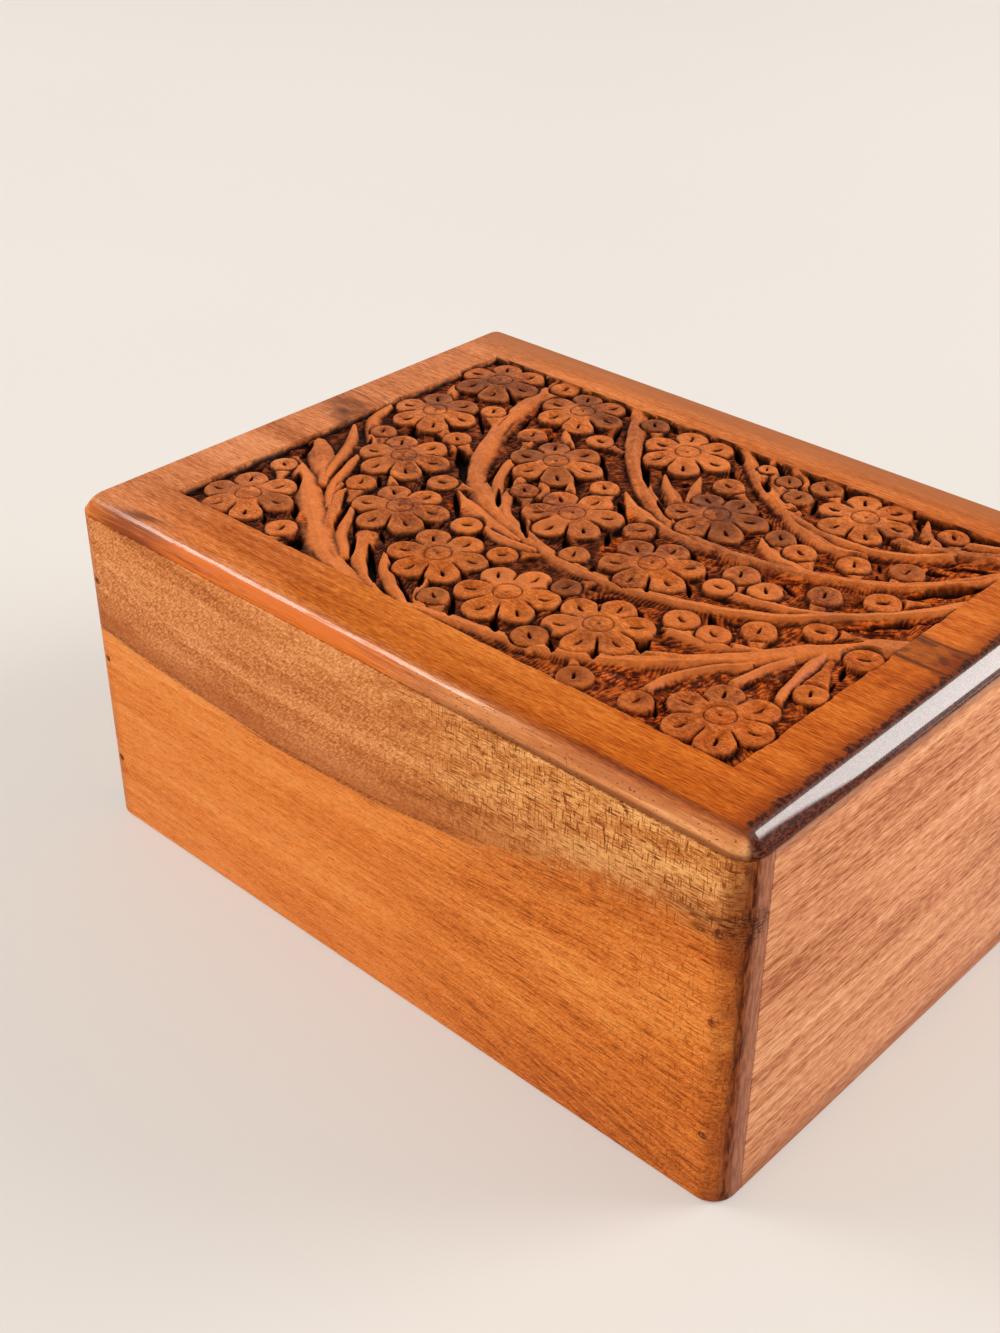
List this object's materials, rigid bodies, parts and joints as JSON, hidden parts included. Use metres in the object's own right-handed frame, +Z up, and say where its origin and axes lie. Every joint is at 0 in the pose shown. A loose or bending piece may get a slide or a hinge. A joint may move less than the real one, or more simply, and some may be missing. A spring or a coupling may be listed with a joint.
{
  "type": "carved wooden box",
  "caption": "Rounded wooden keepsake box with butted, nailed walls, a let-in base and a lift-off lid board deeply carved with flowers, buds and stems.",
  "frame": {"origin": "middle of the base's underside", "axes": "+X along the length, -Y the front wall, +Z up out of the carved lid"},
  "size_m": [0.19, 0.14, 0.0885],
  "materials": {
    "lid_wood": "satin oiled hardwood, orange brown with a dark streak, carved",
    "front_wood": "satin lacquered hardwood, tan above and orange below",
    "back_wood": "satin lacquered hardwood",
    "left_end_wood": "satin lacquered hardwood",
    "right_end_wood": "satin lacquered hardwood, pale orange tan with straight streaks",
    "base_wood": "plain hardwood",
    "brad_steel": "dulled, filled over"
  },
  "bodies": {
    "case": {"front_panel": "front_wood", "back_panel": "back_wood", "left_end_panel": "left_end_wood", "right_end_panel": "right_end_wood", "base_panel": "base_wood", "front_left_brad_1": "brad_steel", "front_left_brad_2": "brad_steel", "front_left_brad_3": "brad_steel", "front_right_brad_1": "brad_steel", "front_right_brad_2": "brad_steel", "front_right_brad_3": "brad_steel", "back_left_brad_1": "brad_steel", "back_left_brad_2": "brad_steel", "back_left_brad_3": "brad_steel", "back_right_brad_1": "brad_steel", "back_right_brad_2": "brad_steel", "back_right_brad_3": "brad_steel", "base_brad_1": "brad_steel", "base_brad_2": "brad_steel", "base_brad_3": "brad_steel", "base_brad_4": "brad_steel", "base_brad_5": "brad_steel", "base_brad_6": "brad_steel", "base_brad_7": "brad_steel", "base_brad_8": "brad_steel"},
    "lid": {"lid_board": "lid_wood"}
  },
  "joints": [
    {"name": "lid_lift", "type": "slide", "parent": "case", "child": "lid", "axis": [0, 0, 1], "range_m": [0, 0.08]}
  ]
}
